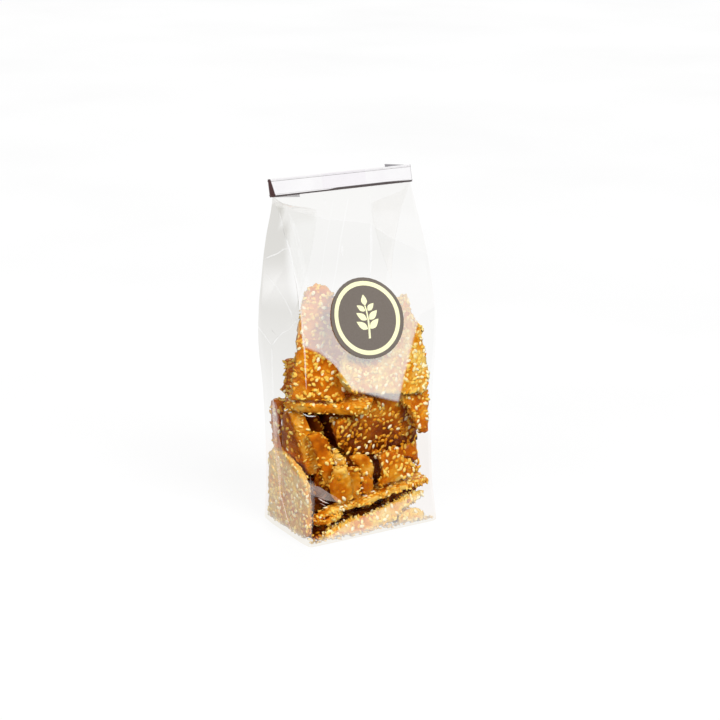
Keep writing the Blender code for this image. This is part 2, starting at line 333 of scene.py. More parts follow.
def film_gloss(nodes):
    """Share of light that the film throws back: Fresnel gloss, plus painted sheen that masks add in set
    parts.
    """
    x, y, z = nodes.millimetres()
    out = nodes.outward()
    front = nodes.step(out["Y"], -0.3, -0.6)
    side = nodes.step(out["X"], -0.45, -0.75)
    # Painted sheen: extra gloss on the upper and lower front, the lower left side, above the top fold
    # line and at the foot, standing in for reflections of the soft light and the floor
    over = nodes.math("SUBTRACT", z, nodes.profile(x, UPPER_SHEEN_LOW_EDGE))
    left = nodes.math("SUBTRACT", nodes.profile(z, UPPER_SHEEN_RIGHT_EDGE), x)
    upper = nodes.product(nodes.step(over, -1.2, 1.2), nodes.step(left, -1.2, 1.2), front,
                          nodes.step(z, 172, 150), UPPER_PAINTED_SHEEN)
    under = nodes.math("SUBTRACT", nodes.profile(x, LOWER_SHEEN_TOP_EDGE), z)
    lower = nodes.product(nodes.step(under, -1.0, 2.0), front, LOWER_PAINTED_SHEEN)
    below = nodes.math("SUBTRACT", nodes.profile(y, SIDE_SHEEN_TOP_EDGE), z)
    gusset = nodes.product(nodes.step(below, -1.0, 2.0), side, SIDE_PAINTED_SHEEN)
    edge = nodes.add("ShaderNodeFresnel", IOR=FILM_INDEX).outputs["Fac"]
    edge = nodes.math("MULTIPLY_ADD", edge, GLOSS_SCALE, third=GLOSS_OFFSET)
    share = nodes.math("MINIMUM", edge, GLOSS_CAP)
    bare = nodes.product(side, nodes.step(z, 46, 60), nodes.step(z, 132, 118), 0.8)
    share = nodes.math("MULTIPLY", share, nodes.math("SUBTRACT", 1.0, bare))
    raised = nodes.math("SUBTRACT", z, nodes.profile(x, TOP_FOLD))
    top = nodes.product(nodes.step(raised, -0.8, 0.8), front, TOP_PAINTED_SHEEN)
    foot = nodes.product(nodes.step(z, 8, 3), nodes.step(out["Z"], -0.6, -0.3), FOOT_PAINTED_SHEEN)
    for part in (upper, lower, gusset, top, foot):
        share = nodes.math("ADD", share, part, True)
    return nodes.math("MULTIPLY", share, nodes.outer())


def film_material():
    """Thin clear film: light goes straight through, with gloss that grows at the edges, painted sheen in
    set parts and painted shade on the left gusset.
    """
    nodes = Nodes("clear_film")
    normal = nodes.bump(nodes.noise(38.0, 3.0, nodes.place()), 0.15, 0.0025)
    through = nodes.add("ShaderNodeBsdfTransparent")
    x, y, z = nodes.millimetres()
    out = nodes.outward()
    outer = nodes.outer()
    tucked = nodes.step(nodes.math("ABSOLUTE", out["X"]), 0.2, 0.35)
    shade = nodes.mix(tucked, FILM_SHADE, TUCK_SHADE)
    behind = nodes.math("SUBTRACT", y, nodes.profile(z, FRONT_FOLD))
    # Painted shade: the left gusset lets less light through, greyer higher up and up to the pinch under
    # the tie
    left = nodes.product(nodes.step(out["X"], -0.2, -0.4), nodes.step(x, -33, -38),
                         nodes.step(z, 20, 190), outer, nodes.step(behind, 0.8, 1.4))
    pinched_shade = nodes.product(nodes.step(z, 176, 186), nodes.step(out["Y"], -0.3, -0.6),
                            nodes.step(behind, 0.8, 1.4), nodes.step(x, -38, -42), outer)
    shade = nodes.mix(nodes.math("MAXIMUM", left, pinched_shade), shade, LEFT_PAINTED_SHADE)
    side = nodes.product(nodes.step(out["X"], -0.45, -0.75), nodes.step(z, 62, 48))
    shade = nodes.mix(side, shade, SIDE_SHADE)
    shade = nodes.mix(nodes.product(nodes.step(z, 8, 2), outer), shade, FOOT_SHADE)
    nodes.feed(through, "Color", shade)
    gloss = nodes.add("ShaderNodeBsdfGlossy", Roughness=0.07, Normal=normal)
    gloss.inputs["Color"].default_value = (1.0, 0.99, 0.98, 1.0)
    return nodes.blend(film_gloss(nodes), through.outputs["BSDF"], gloss.outputs["BSDF"])


def glint_material():
    """Painted highlight: a glossy whitish strip on the film, standing in for light caught along folds,
    for glints and for veils of reflection; warmer low down, over the brittle.
    """
    nodes = Nodes("painted_glint")
    through = nodes.add("ShaderNodeBsdfTransparent")
    gloss = nodes.add("ShaderNodeBsdfGlossy", Roughness=0.25)
    z = nodes.millimetres()["Z"]
    nodes.feed(gloss, "Color", nodes.mix(nodes.step(z, 70, 60), (1.0, 1.0, 1.0, 1.0),
                                         (1.0, 0.8, 0.7, 1.0)))
    patchy = nodes.ramp(nodes.noise(120.0), [(0.3, (0.4, 0.4, 0.4, 1)), (0.7, (1, 1, 1, 1))])
    strength = nodes.math("MULTIPLY", patchy, nodes.tone())
    return nodes.blend(strength, through.outputs["BSDF"], gloss.outputs["BSDF"])


def foil_material():
    """Silver foil with fine crinkles and painted shade: a darker lavender band in the middle, dark where
    it faces down, grey where it faces up, a dark line of painted shadow along its foot, grey on the flap
    behind, dark at the left end and grey at the right end.
    """
    nodes = Nodes("silver_foil")
    x, y, z = nodes.millimetres()
    out = nodes.outward()
    front = nodes.step(out["Y"], -0.3, -0.6)
    mottle = nodes.ramp(nodes.noise(60.0), [(0.3, colour(248, 246, 248)), (0.7, colour(253, 252, 253))])
    # Painted shade: a slightly darker lavender band across the middle
    middle = nodes.product(nodes.step(x, -15, -14), nodes.step(x, 16.5, 15.5), 0.6)
    tint = nodes.mix(middle, mottle, colour(246, 242, 247))
    # Painted shade and reflection: faces that turn down are dark, faces that turn up are grey
    tint = nodes.mix(nodes.step(out["Z"], -0.25, -0.55), tint, colour(86, 78, 78))
    tint = nodes.mix(nodes.step(out["Z"], 0.75, 0.95), tint, colour(176, 172, 174))
    # Painted shadow: a dark line along the foot of the front
    foot_shadow = nodes.math("SUBTRACT", nodes.math("ADD", nodes.profile(x, FOIL_FOOT_SHADOW), TIE_FOOT), z)
    tint = nodes.mix(nodes.product(nodes.step(foot_shadow, -0.15, 0.15), front), tint, colour(92, 84, 84))
    depth = nodes.math("SUBTRACT", y, nodes.math("MULTIPLY", nodes.math("SUBTRACT", z, TIE_FOOT),
                                                 TIE_SLOPE))
    # Painted shade on the flap behind, seen above the strip
    flap_shade = nodes.step(depth, TIE_FRONT + 2.0, TIE_FRONT + 3.0)
    tint = nodes.mix(nodes.product(flap_shade, front), tint, colour(165, 162, 166))
    # Painted shade at both ends where the strip wraps round: dark at the left, grey at the right
    left_end_shade = nodes.math("ADD", x, nodes.math("MULTIPLY", nodes.math("SUBTRACT", z, TIE_FOOT), 0.2))
    tint = nodes.mix(nodes.step(left_end_shade, -46.6, -47.0), tint, colour(84, 62, 62))
    tint = nodes.mix(nodes.step(x, 48.3, 48.8), tint, colour(160, 156, 158))
    rough = nodes.ramp(nodes.noise(300.0), [(0.3, (0.14, 0.14, 0.14, 1)), (0.7, (0.26, 0.26, 0.26, 1))])
    return nodes.surface(tint, rough, nodes.bump(nodes.noise(420.0, 4.0), 0.08, 0.0004), metal=1.0)


def paper_material(name, dark, light, roughness):
    """Satin sticker print with a faint mottle."""
    nodes = Nodes(name)
    grain = nodes.noise(1800.0, 2.0)
    tint = nodes.ramp(grain, [(0.3, dark), (0.7, light)])
    return nodes.surface(tint, roughness, nodes.bump(grain, 0.05, 0.0001), 0.2)


def floor_material():
    """Backlit white table: mostly its own light, so shadows stay faint."""
    nodes = Nodes("pale_floor")
    tint = nodes.ramp(nodes.noise(3.0), [(0.3, colour(250, 250, 250)), (0.7, colour(254, 254, 254))])
    matt = nodes.add("ShaderNodeBsdfDiffuse", Color=tint)
    lit = nodes.add("ShaderNodeEmission", Color=tint)
    lit.inputs["Strength"].default_value = 1.035
    return nodes.blend(0.9, matt.outputs["BSDF"], lit.outputs["Emission"])


# ---------------------------------------------------------------- brittle


def aim(turn, rise):
    """Direction at an azimuth and elevation in radians; azimuth 0 is in front of the pack."""
    return Vector((math.sin(turn) * math.cos(rise), -math.cos(turn) * math.cos(rise), math.sin(rise)))


def facing(yaw, pitch):
    """Turn whose X runs along a slab, Y up its face and Z out of the face.

    Yaw 0 faces the front panel and 90 the left gusset; pitch tilts the face upwards.
    """
    turn = math.radians(yaw)
    along = Vector((math.cos(turn), -math.sin(turn), 0))
    out = aim(-turn, math.radians(pitch))
    up = out.cross(along)
    return Matrix((along, up, out)).transposed()


def sides_of(outline):
    """Every side of a closed outline, as its two ends."""
    return zip(outline, outline[1:] + outline[:1])


def inside_outline(outline, x, y):
    """Even-odd test of a point against a closed outline."""
    hit = False
    for (ax, ay), (bx, by) in sides_of(outline):
        if (ay > y) != (by > y) and x < ax + (y - ay) * (bx - ax) / (by - ay):
            hit = not hit
    return hit


def broken_outline(corners, rng):
    """Corner points joined by short, uneven breaks."""
    points = []
    for (ax, ay), (bx, by) in sides_of(corners):
        length = math.hypot(bx - ax, by - ay)
        steps = max(1, round(length / EDGE_PITCH))
        for index in range(steps):
            share = index / steps
            reach = BREAK_BITE if index else CORNER_BITE
            bite = rng.uniform(-reach, reach)
            nx, ny = (by - ay) / length, (ax - bx) / length
            points.append((ax + (bx - ax) * share + nx * bite, ay + (by - ay) * share + ny * bite))
    return points


class Slab:
    """One broken piece of brittle in millimetres, with its own bow and bumps."""

    def __init__(self, corners, centre, turn, thickness, seed, tone, looks=None):
        self.rng = random.Random(seed)
        self.outline = broken_outline([tuple(c) for c in corners], self.rng)
        self.centre = Vector(centre)
        self.turn = turn
        self.thickness = thickness
        self.rough = min(1.0, thickness / 4)
        self.shift = Vector((self.rng.uniform(0, 90), self.rng.uniform(0, 90), seed % 97))
        self.reach = max(math.hypot(x, y) for x, y in self.outline)
        looks = looks or {}
        self.tone = tone
        # Broken edges are lighter: partly the thinner caramel at the break, partly painted light so that
        # they read as lit
        self.rim_lit_tone = tone + looks.get("rim", 0.1)
        # Painted shade slope: the tone rises from the bottom to the top of the piece
        self.fade = looks.get("fade", 0.0)
        self.slant = looks.get("slant", 0.0)
        self.bow = looks.get("bow", self.rng.uniform(-1.0, 1.0))
        self.cover = looks.get("cover", 0.35 + 0.6 * tone)
        self.rim_cover = looks.get("rim_cover", 0.3 + 0.35 * tone)

    def relief(self, x, y, level, kind):
        scale, height = kind
        return noise.noise(Vector((x, y, level)) * scale + self.shift) * height

    def bend(self, x, y):
        """Height of the slab's middle sheet: a long bow and a slow wave."""
        return self.bow * (x * x + y * y) / self.reach ** 2 + self.relief(x, y, 0, WAVE)

    def shade(self, y, rim=False):
        """Tone of the caramel, with a painted shade slope that darkens the piece towards its bottom and
        lightens it towards its top; rims take a lighter tone that is partly painted light.
        """
        return (self.rim_lit_tone if rim else self.tone) + self.fade * y / self.reach

    def face(self, x, y, side):
        """Height of the top or bottom face, bumpy with the seeds inside."""
        uneven = self.relief(x, y, 40 * side, BUMPS) + self.relief(x, y, 20 * side, SWELL)
        return self.bend(x, y) + side * (self.thickness / 2 + uneven * self.rough)

    def world(self, point):
        """Slab millimetres to metres in the pack; slanted breaks shift with depth."""
        share = 0.5 - point.z / self.thickness
        leaned = Vector((point.x + self.slant * share, point.y, point.z))
        return (self.centre + self.turn @ leaned) * MM

    def scatter(self, pitch, shake):
        """Points of a grid over the outline's box, each one shaken by a share of the pitch."""
        xs = [p[0] for p in self.outline]
        ys = [p[1] for p in self.outline]
        y = min(ys)
        while y < max(ys):
            x = min(xs)
            while x < max(xs):
                px = x + self.rng.uniform(-shake, shake) * pitch
                py = y + self.rng.uniform(-shake, shake) * pitch
                yield px, py
                x += pitch
            y += pitch

    def sheet(self):
        """Points and triangles of the outline, and the points that each one came from."""
        inner = []
        for x, y in self.scatter(POINT_PITCH, 0.3):
            if inside_outline(self.outline, x, y) and self.edge_distance(x, y) > EDGE_MARGIN:
                inner.append((x, y))
        count = len(self.outline)
        edges = [(i, (i + 1) % count) for i in range(count)]
        points = [Vector(p) for p in self.outline + inner]
        made = delaunay_2d_cdt(points, edges, [], 1, 1e-5)
        return made[0], made[2], made[3]

    def edge_distance(self, x, y):
        best = 1e9
        for (ax, ay), (bx, by) in sides_of(self.outline):
            dx, dy = bx - ax, by - ay
            share = ((x - ax) * dx + (y - ay) * dy) / (dx * dx + dy * dy)
            share = min(1.0, max(0.0, share))
            best = min(best, math.hypot(x - ax - share * dx, y - ay - share * dy))
        return best

    def mesh(self):
        """Vertices in metres and faces of the closed slab."""
        flat, triangles, origins = self.sheet()
        count = len(self.outline)
        ring = [None] * count
        for index, sources in enumerate(origins):
            for source in sources:
                if source < count:
                    ring[source] = index
        rim = set(ring)
        vertices = []
        faces = []
        for side in (1, -1):
            start = len(vertices)
            for index, (x, y) in enumerate(flat):
                z = self.face(x, y, side)
                if index in rim:
                    z -= side * 0.45 * self.rough
                vertices.append(self.world(Vector((x, y, z))))
            for a, b, c in triangles:
                order = (a, b, c) if side > 0 else (a, c, b)
                faces.append(tuple(start + i for i in order))
        total = len(flat)
        centre = Vector((sum(p[0] for p in self.outline) / count,
                         sum(p[1] for p in self.outline) / count))
        tones = [self.shade(y) for _ in range(2) for _, y in flat]
        for side in (0, 1):
            for i in ring:
                tones[side * total + i] = self.shade(flat[i][1], True)
        loops = [ring]
        for level in RIM_LEVELS:
            loop = []
            for i in ring:
                x, y = flat[i]
                out = (Vector((x, y)) - centre).normalized()
                push = self.rng.uniform(-0.3, 0.8) * self.rough
                shake = self.rng.uniform(-0.3, 0.3) * self.rough
                z = self.bend(x, y) + level * self.thickness + shake
                loop.append(len(vertices))
                vertices.append(self.world(Vector((x + out.x * push, y + out.y * push, z))))
                tones.append(self.shade(y, True) + self.rng.uniform(-0.08, 0.12))
            loops.append(loop)
        loops.append([total + i for i in ring])
        ccw = self.area() > 0
        for upper, lower in zip(loops, loops[1:]):
            for k in range(count):
                j = (k + 1) % count
                quad = (upper[k], lower[k], lower[j], upper[j])
                faces.append(quad if ccw else quad[::-1])
        return vertices, faces, tones

    def area(self):
        total = 0.0
        for (ax, ay), (bx, by) in sides_of(self.outline):
            total += ax * by - bx * ay
        return total / 2

    def prism(self):
        """Coarse solid for clearance tests, in metres."""
        half = self.thickness / 2
        step = max(1, len(self.outline) // 14)
        ring = self.outline[::step]
        vertices = []
        for side in (1, -1):
            for x, y in ring:
                vertices.append(self.world(Vector((x, y, self.bend(x, y) + side * half))))
        count = len(ring)
        faces = [tuple(range(count)), tuple(range(2 * count - 1, count - 1, -1))]
        for k in range(count):
            j = (k + 1) % count
            faces.append((k, count + k, count + j, j))
        return vertices, faces

    def seeds(self):
        """Places of the seeds: (point, direction along the seed, outward, size, sink, tone)."""
        found = []
        sides = (1, -1) if abs(self.area()) > SMALL_PIECE else ()
        for side in sides:
            for x, y in self.scatter(SEED_PITCH, 0.5):
                keep = self.rng.random() < self.cover
                if keep and inside_outline(self.outline, x, y):
                    found.append(self.seed_at(x, y, side))
        for x, y in self.outline:
            for _ in range(2):
                if sides and self.rng.random() < self.rim_cover:
                    found.append(self.rim_seed(x, y))
        return found

    def seed_at(self, x, y, side):
        z = self.face(x, y, side)
        swing = self.rng.uniform(0, 2 * math.pi)
        along = Vector((math.cos(swing), math.sin(swing), 0))
        out = Vector((self.rng.uniform(-0.2, 0.2), self.rng.uniform(-0.2, 0.2), side))
        sink = self.rng.uniform(-0.1, 0.6)
        return self.seed(Vector((x, y, z)), along, out, sink, self.shade(y))

    def rim_seed(self, x, y):
        way = Vector((x, y)).normalized()
        z = self.bend(x, y) + self.rng.uniform(-0.42, 0.42) * self.thickness
        along = Vector((-way.y, way.x, self.rng.uniform(-1.2, 1.2)))
        out = Vector((way.x, way.y, self.rng.uniform(-0.3, 0.3)))
        return self.seed(Vector((x, y, z)), along, out, self.rng.uniform(0.2, 0.9),
                         self.shade(y, True))

    def seed(self, point, along, out, sink, shade):
        size = self.rng.uniform(0.82, 1.15)
        raised = 1.0 - sink
        mean = 0.11 + 0.44 * shade + 0.24 * raised
        tone = min(1.0, max(0.0, self.rng.gauss(mean, 0.18)))
        # Painted highlight: a few seeds turn near-white, as glints
        if self.rng.random() < GLINT_SEED_SHARE:
            tone = 1.0
        spot = self.world(point)
        world_out = (self.turn @ out).normalized()
        world_along = (self.turn @ along).normalized()
        spot = spot - world_out * (sink * SEED_HEIGHT * 0.5 * MM)
        return spot, world_along, world_out, size, tone


def polygon(rng, width, height, count):
    """Random broken shape with a few uneven corners, in millimetres."""
    points = []
    turn = rng.uniform(0, 2 * math.pi)
    for index in range(count):
        angle = turn + 2 * math.pi * (index + rng.uniform(-0.28, 0.28)) / count
        reach = rng.uniform(0.78, 1.0)
        points.append((math.cos(angle) * width / 2 * reach, math.sin(angle) * height / 2 * reach))
    return points


# Pieces seen from the front, in millimetres and degrees: name, centre, yaw, pitch, thickness,
# tone, other looks, corners
SHOWN = (
    ("ledge", (-18, -3, 84), 38, 78, 5.6, 0.7, {"rim": 0.0, "rim_cover": 0.25},
     ((-25, -14), (-10, -16), (25, -15), (27, -4), (10, 9), (-12, 10), (-24, 0))),
    ("long_1", (1, -14, 23.6), 90, 82, 3.2, 0.68, {"bow": -4.4, "rim": 0.15, "rim_cover": 0.8},
     ((4, -39), (10, -38), (14, 4), (13, 32), (8, 42), (-4, 42), (-3, 20), (2, -10))),
    ("side_face", (-40.8, -1, 25), 88, 2, 4.8, 0.95, {"slant": -4.0, "cover": 0.7},
     ((-27, 19), (-21, 22), (-11, 23), (2, 18.5), (13.5, 14), (17.5, 9), (20, 0), (21.6, -12), (21, -20),
      (17, -23), (5, -23), (-11, -23), (-25, -22), (-27, -2))),
    ("crown", (10, -16, 115), -4, 20, 5.0, 0.9, {},
     ((12, 30), (20, 27), (26, 29), (26, 20), (28, 14), (31, 9), (34, 6), (31, 2), (31.5, -10),
      (31.5, -20), (31, -24), (27, -32), (7, -30), (-19, -25), (-26, -23), (-30, -18), (-33, -12),
      (-29, -6), (-17, 16), (-1, 32))),
    ("peak", (-26, -4, 120), 25, 14, 5.0, 0.6, {"fade": 0.1},
     ((-5, 33), (-1, 35), (5, 34), (9, 28), (15, 19), (17, 0), (17, -20), (16, -29), (15, -33),
      (11, -35), (-17, -34), (-16, -23), (-14, -12), (-13, 0), (-12, 10), (-10, 18), (-8, 28))),
    # The face piece gets a steep painted shade slope: dark at its foot, light at its top
    ("face", (8, -13, 65), -5, -8, 5.2, 0.3, {"fade": 0.8},
     ((-30, 0), (-28, 7), (-22, 9), (-9, 10), (-1, 15), (5, 19), (17, 17), (23, 6), (28, -3),
      (33, -12), (34, -16), (14, -19), (-2, -19), (-19, -15), (-25, -9))),
    ("right_1", (19, -25, 40), -1, 11, 4.6, 0.64, {"cover": 0.6},
     ((-13, 8), (-5, 10), (2, 6), (6, 3), (14, -3), (13, -6), (9, -7), (-14, -10), (-11, 1))),
    ("lean_2", (-28.5, -11.6, 48), 31, -4, 5.0, 0.62, {"rim": 0.05, "cover": 0.2},
     ((-8, 16), (-1, 17), (4, 11), (7, 3), (8, -13), (2, -17), (1, -7), (-4, 6))),
    ("stand_2", (-6, -22, 38), 26, -3, 4.6, 0.74, {"rim": 0.05, "cover": 0.3},
     ((-7, 11), (-2, 13), (4, 11), (7, 5), (7, -9), (4, -12), (0, -11), (0, -2), (-2, 6))),
    ("stand_1", (-12, -23, 35), 28, -2, 4.4, 0.7, {"rim": 0.1, "cover": 0.2},
     ((-4, 8), (2, 9), (4, 1), (4, -8), (1, -11), (-2, -10))),
    ("lean_3", (-22, -24, 36), 31, -6, 5.0, 0.65, {"rim": 0.1, "cover": 0.25},
     ((-4, 10), (3, 11), (6, 4), (7, -10), (0, -14), (-4, -9), (-7, -2))),
    # lean_1's rim is much lighter: painted light on an edge that lies in shade
    ("lean_1", (-36, 4, 57), 76, -12, 7.0, 0.33,
     {"rim": 0.5, "slant": 5.5, "cover": 0.3, "rim_cover": 1.0},
     ((-10, 15), (-6, 20), (-3, 22), (0, 20), (3, 14), (5, 5), (7, -4), (8, -13), (7, -21),
      (4, -22), (-5, -15), (-12, -7))),
    ("right_2", (25, -13, 41), -5, 20, 5.0, 0.4, {"rim": 0.2},
     ((-16, 3), (0, 5), (16, 7), (15, -7), (8, -1))),
    ("back_right", (33, -22, 72), 3, 15, 5.0, 0.68, {},
     ((-9, 13), (9, 12), (6, -13), (1, -13), (-1, -6), (-4, 2), (-9, 7))),
    ("shade", (-4, 14, 106), 24, 14, 5.0, 0.3, {},
     ((-2, 31), (13, 31), (14, -23), (9, -31), (-14, -30))),
    ("brown", (-33, 19, 93), 60, 0, 4.2, 0.5, {},
     ((-3, 10), (4, 12), (5, -11), (-2, -12), (-5, -9), (-2, 0))),
    # Painted shade: a near-black piece set in the gap behind, where only shadow is seen
    ("dark_back", (-13, 9, 61), 30, -6, 5.0, 0.0, {"cover": 0.15},
     ((-17, 14), (16, 14), (17, -14), (6, -14), (-4, -5), (-12, 5))),
    ("bits", (-37, 23, 59), 62, 0, 4.0, 0.6, {},
     ((-6, 18), (3, 20), (2, 10), (0, 6), (1, -8), (3, -13), (6, -17), (3, -20), (-4, -18),
      (-5, 0), (-6, 10))),
    ("long_2", (3, -23, 9), 4, 23, 4.2, 0.93, {"bow": 0.3, "rim": 0.1, "cover": 0.8},
     ((-33, -3), (-25, -1), (-16, 1), (-3, 2), (5, 4), (17, 7), (23, 9.5), (29, 11), (36, 10),
      (35, 8), (29, 5), (22, 2), (17, -1), (12, -5), (-12, -8), (-30, -8), (-36, -7))),
    # Painted shade: near-black pieces behind and under the shown ones (this and the next three rows),
    # set where gaps would let the floor show and only shadow is seen
    ("backing", (3, -6, 38), 0, -6, 5.0, 0.05, {"cover": 0.2},
     ((-32, -16), (30, -14), (34, 7), (4, 11), (-30, 9))),
    ("low_backing", (2, 11, 9.9), 0, -8, 4.6, 0.05, {"cover": 0.2},
     ((-34, -8), (41, -8), (41, 10), (-34, 10))),
    ("gap_backing", (31, -9, 13.5), 0, 0, 3.0, 0.1, {"cover": 0.3},
     ((-11, -4.5), (12, -4.5), (12, 4.5), (-11, 4.5))),
    ("low_floor", (-1, -6, 3.0), 90, 89.5, 2.6, 0.05, {"cover": 0.2},
     ((-14, -38), (15, -38), (16, 36), (-14, 36))),
    ("low_front", (29, -24, 6), 2, 20, 3.4, 0.98, {"cover": 0.9},
     ((-9, 0), (-5, 2), (2, 3), (5, 2), (9, -1), (8, -4.5), (2, -4.5), (-10, -4.5))),
    ("under_ledge", (-25, 5, 67), 35, -19, 4.0, 0.2, {"cover": 0.2},
     ((-6, 8), (2, 6), (4, 2), (7, -6), (5, -8), (-3, -6), (-7, 0))),
    ("mid", (-17, -14, 48), 31, -4, 3.0, 0.8, {},
     ((-4, 6), (-1, 4), (4, -2), (4, -6), (0, -5), (-4, -2))),
    # Painted shade: a near-black smooth piece that makes the dark hollow at the lower left
    ("hole", (-15, 6, 14), 31, 0, 3.0, 0.0, {"cover": 0.0, "rim_cover": 0.0},
     ((-9, 8), (5, 9), (9, 0), (3, -5), (-5, -9), (-8, -4))),
    ("fill_right", (33, -12, 66), 4, 2, 5.0, 0.45, {},
     ((-9, 14), (8, 14), (7, -8), (2, -15), (-5, -11))),
    # Painted shade: another near-black piece of the dark hollow
    ("hole_left", (-27, -4, 16.5), 31, 0, 3.0, 0.0, {"cover": 0.0, "rim_cover": 0.0},
     ((-4, 5), (4, 5), (5, 0), (3, -5), (-4, -5))),
    ("long_end", (-29, -19, 13.6), 84, 80, 3.2, 0.5, {"rim": 0.2, "rim_cover": 0.7},
     ((-4, -8), (4, -9), (8, -4), (8, 4), (5, 9), (-1, 8), (-4, 2))),
)


def shown_slabs():
    slabs = []
    for index, row in enumerate(SHOWN):
        _, centre, yaw, pitch, thickness, tone, looks, corners = row
        slabs.append(Slab(corners, centre, facing(yaw, pitch), thickness, 101 + 7 * index, tone,
                          looks))
    return slabs


def search_tree(node):
    """Search tree of a CAD node's surface."""
    points = [v.co.copy() for v in node.data.vertices]
    return BVHTree.FromPolygons(points, [tuple(p.vertices) for p in node.data.polygons])


def corners_of(vertices):
    """Lowest and highest corner of a set of points."""
    return [Vector([pick(v[i] for v in vertices) for i in range(3)]) for pick in (min, max)]


class Space:
    """Keeps pieces inside the film and clear of each other."""

    def __init__(self, bag):
        self.film = search_tree(bag)
        self.taken = []

    def depth(self, point):
        """How far inside the film a point is, negative outside."""
        place, normal, _, distance = self.film.find_nearest(point)
        return distance if (point - place).dot(normal) < 0 else -distance

    def holds(self, vertices, margin):
        return all(self.depth(v) > margin for v in vertices)

    def clear(self, vertices, faces):
        tree = BVHTree.FromPolygons(vertices, faces)
        low, high = corners_of(vertices)
        for other_low, other_high, other in self.taken:
            apart = any(low[i] > other_high[i] or high[i] < other_low[i] for i in range(3))
            if not apart and tree.overlap(other):
                return False
        return True

    def take(self, vertices, faces):
        low, high = corners_of(vertices)
        self.taken.append((low, high, BVHTree.FromPolygons(vertices, faces)))

    def accept(self, slab, allowed):
        """Take a slab if all its points are allowed, and it is clear of the film and the rest."""
        vertices, faces = slab.prism()
        fits = all(allowed(v) for v in vertices) and self.holds(vertices, FILM_CLEARANCE)
        fits = fits and self.clear(vertices, faces)
        if fits:
            self.take(vertices, faces)
        return fits


FILL_LOW = 70.0
FILL_HIGH = 108.0
FILL_TRIES = 2600
FILL_SEED = 5
BACK_TRIES = 2400
BACK_SEED = 11
BACK_START = 10
BACK_HIGH = 74.0
FILM_CLEARANCE = 0.0006
CRUMB_TRIES = 2400
CRUMB_SEED = 8
LOOSE_COUNT = 150
LOOSE_SEED = 17
SEED_CLEARANCE = 0.0006
FLOOR_GAP = 0.0001


def pile_top(x, y):
    """Height of the loose pile: low at the left, higher to the right, sloping to the back."""
    share = min(1.0, max(0.0, (x + 44) / 60))
    return FILL_LOW + (FILL_HIGH - FILL_LOW) * share - 0.15 * max(0.0, y)


def in_view(x, y, z):
    """Places near the front and left film that only the shown pieces may take."""
    front = y < -13
    left = x < -35 and z > 44
    hole = x > 16 and y < 12 and z < 26
    return front or left or hole


def in_heap(v):
    """Places of the hidden heap: under its top and behind the shown pieces."""
    low = v.z < pile_top(v.x / MM, v.y / MM) * MM
    return low and not in_view(v.x / MM, v.y / MM, v.z / MM)


def filler_slabs(space):
    """Unseen and half-seen pieces that fill the rest of the bag, large ones first."""
    rng = random.Random(FILL_SEED)
    slabs = []
    for index in range(FILL_TRIES):
        share = index / FILL_TRIES
        width = rng.uniform(30, 52) * (1 - 0.55 * share)
        height = width * rng.uniform(0.55, 1.0)
        corners = polygon(rng, width, height, rng.choice((4, 5, 5, 6)))
        yaw = rng.uniform(0, 360)
        pitch = rng.choice((rng.uniform(-25, 30), rng.uniform(20, 70), rng.uniform(70, 90)))
        centre = (rng.uniform(-42, 42), rng.uniform(-26, 28), rng.uniform(4, FILL_HIGH))
        slab = Slab(corners, centre, facing(yaw, pitch), rng.uniform(4.0, 5.2), 900 + index,
                    rng.uniform(0.25, 0.9))
        if space.accept(slab, in_heap):
            slabs.append(slab)
    return slabs


def back_slabs(space):
    """Pieces that lean flat against the back of the bag, behind the shown ones."""
    rng = random.Random(BACK_SEED)
    slabs = []
    for index in range(BACK_TRIES):
        width = rng.uniform(26, 44) * (1 - 0.5 * index / BACK_TRIES)
        corners = polygon(rng, width, width * rng.uniform(0.55, 0.95), rng.choice((4, 5, 5, 6)))
        turn = facing(rng.uniform(140, 220), rng.uniform(-30, 30))
        centre = (rng.uniform(-34, 42), rng.uniform(12, 28), rng.uniform(4, BACK_HIGH))
        slab = Slab(corners, centre, turn, rng.uniform(4.0, 5.2), 12000 + index,
                    rng.uniform(0.4, 0.95))
        if space.accept(slab, lambda v: v.y > BACK_START * MM and v.z < BACK_HIGH * MM):
            slabs.append(slab)
    return slabs


def crumb_slabs(space):
    """Broken bits on the floor of the bag: larger ones at the back, fine ones at the front."""
    rng = random.Random(CRUMB_SEED)
    slabs = []
    for index in range(CRUMB_TRIES):
        if index % 2:
            width, thickness = rng.uniform(2.4, 4.5), 1.3
            depth, height = rng.uniform(-28.8, -24.8), rng.uniform(1.2, 2.2)
            pitch = rng.uniform(65, 90)
            # Fine crumbs at the front get a lighter tone: partly their pale colour, partly painted light
            # against the shade they lie in
            glow = 0.4
        else:
            width, thickness = rng.uniform(5, 14), rng.uniform(1.8, 4.2)
            depth, height = rng.uniform(14, 28), rng.uniform(1.8, 8.0)
            pitch = rng.uniform(40, 90)
            glow = 0.0
        corners = polygon(rng, width, width * rng.uniform(0.5, 1.0), rng.choice((4, 5)))
        centre = (rng.uniform(-44, 44), depth, height)
        slab = Slab(corners, centre, facing(rng.uniform(0, 360), pitch), thickness,
                    5000 + index, glow + rng.uniform(0.7, 1.2),
                    {"cover": 0.5, "rim_cover": 0.2})
        if space.accept(slab, lambda v: True):
            slabs.append(slab)
    return slabs


